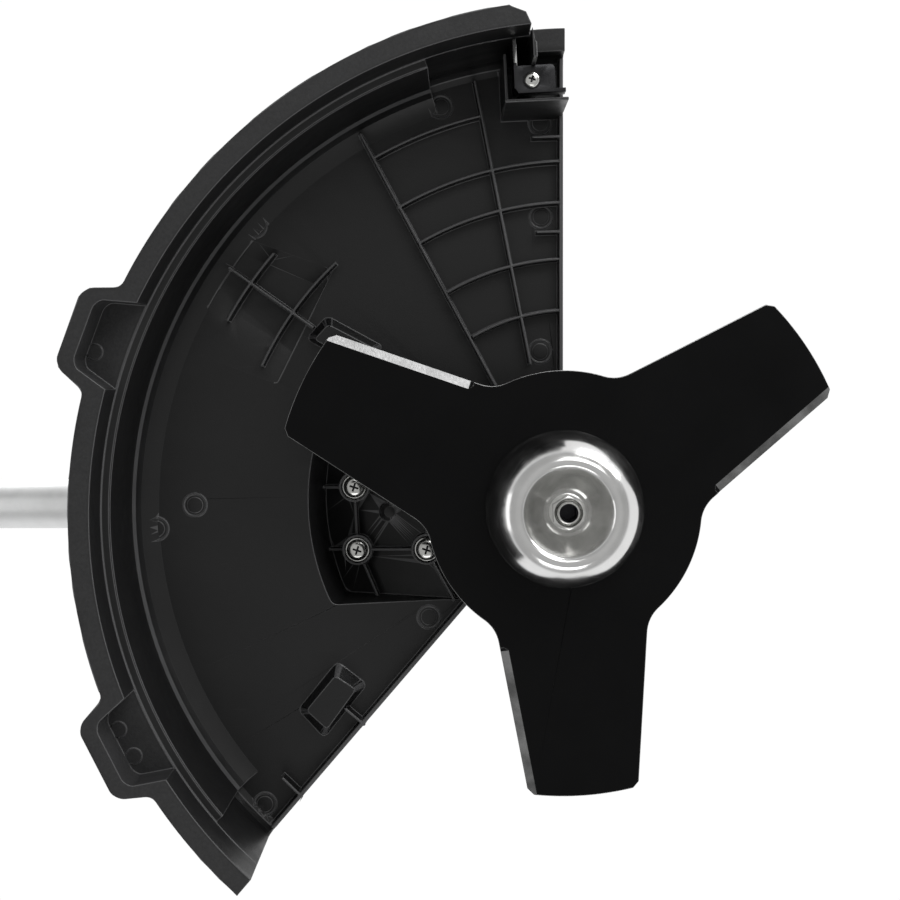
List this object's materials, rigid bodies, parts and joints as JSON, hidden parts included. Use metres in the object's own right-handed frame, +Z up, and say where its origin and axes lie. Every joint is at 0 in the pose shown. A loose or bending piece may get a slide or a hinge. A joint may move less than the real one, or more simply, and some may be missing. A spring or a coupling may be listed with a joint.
{
  "type": "brush cutter",
  "caption": "Cutting end of a brush cutter: straight aluminium tube, angled gear head, ribbed black sector guard with line knife, and a three-tooth steel blade.",
  "frame": {"origin": "centre of the tube's upper end, where it plugs into the upper tube", "axes": "+Z up, parallel to the blade arbor; +X level, from the tube's end towards the head; +Y to the side"},
  "size_m": [0.7257, 0.3751, 0.4535],
  "materials": {
    "blade_black": "satin black coating, bare ground edges",
    "polished_chrome": "pressed and polished",
    "zinc_plated_steel": "bright zinc plating",
    "machined_steel": "turned and ground",
    "knife_steel": "folded sheet with a ground edge",
    "black_steel": "black oxide",
    "cast_aluminium": "die cast, fine blasted skin",
    "tube_aluminium": "drawn and anodised, matte",
    "guard_plastic": "moulded black polypropylene, spark-eroded grain",
    "black_plastic": "moulded, smooth",
    "liner_plastic": "moulded, smooth",
    "rubber": "matte"
  },
  "bodies": {
    "head": {"upper_arbor_bearing": "machined_steel", "lower_arbor_bearing": "machined_steel", "front_pinion_bearing": "machined_steel", "rear_pinion_bearing": "machined_steel", "arbor_circlip": "black_steel", "pinion_circlip": "black_steel", "arbor_seal": "rubber", "gear_case": "cast_aluminium", "neck_pinch_bolt_1": "black_steel", "neck_pinch_bolt_2": "black_steel", "tube_locating_screw": "black_steel", "grease_plug": "zinc_plated_steel", "anti_wrap_ring": "black_plastic", "shaft_tube": "tube_aluminium", "shaft_liner_1": "liner_plastic", "shaft_liner_2": "liner_plastic", "shaft_liner_3": "liner_plastic", "shaft_liner_4": "liner_plastic", "leaf_anchor_block": "liner_plastic", "guard": "guard_plastic", "line_knife": "knife_steel", "knife_screw": "zinc_plated_steel", "guard_bracket": "cast_aluminium", "clamp_cap": "cast_aluminium", "guard_screw_1": "zinc_plated_steel", "guard_washer_1": "zinc_plated_steel", "clamp_bolt_1": "black_steel", "guard_screw_2": "zinc_plated_steel", "guard_washer_2": "zinc_plated_steel", "clamp_bolt_2": "black_steel", "guard_screw_3": "zinc_plated_steel", "guard_washer_3": "zinc_plated_steel", "clamp_bolt_3": "black_steel", "guard_screw_4": "zinc_plated_steel", "guard_washer_4": "zinc_plated_steel", "clamp_bolt_4": "black_steel"},
    "rotor": {"blade": "blade_black", "blade_holder": "machined_steel", "blade_clamp_flange": "machined_steel", "support_cup": "polished_chrome", "blade_nut": "zinc_plated_steel", "arbor_shaft": "machined_steel", "bevel_gear": "machined_steel"},
    "drive_line": {"bevel_pinion": "machined_steel", "drive_shaft": "machined_steel"},
    "lock_button_body": {"lock_button": "zinc_plated_steel", "lock_button_leaf": "machined_steel"}
  },
  "joints": [
    {"name": "blade_spin", "type": "hinge", "parent": "head", "child": "rotor", "pos_m": [0.6, 0, -0.40841], "axis": [0, 0, 1], "continuous": true},
    {"name": "drive_spin", "type": "hinge", "parent": "head", "child": "drive_line", "pos_m": [0.6, 0, -0.34641], "axis": [-0.866, 0, 0.5], "continuous": true},
    {"name": "lock_button_press", "type": "hinge", "parent": "head", "child": "lock_button_body", "pos_m": [0.10206, 0, -0.04888], "axis": [0, -1, 0], "range_deg": [0, 2.87], "stiffness_Nm_per_rad": 12}
  ],
  "couplings": [
    {"joint": "drive_spin", "follows": "blade_spin", "ratio": -1.3571}
  ]
}
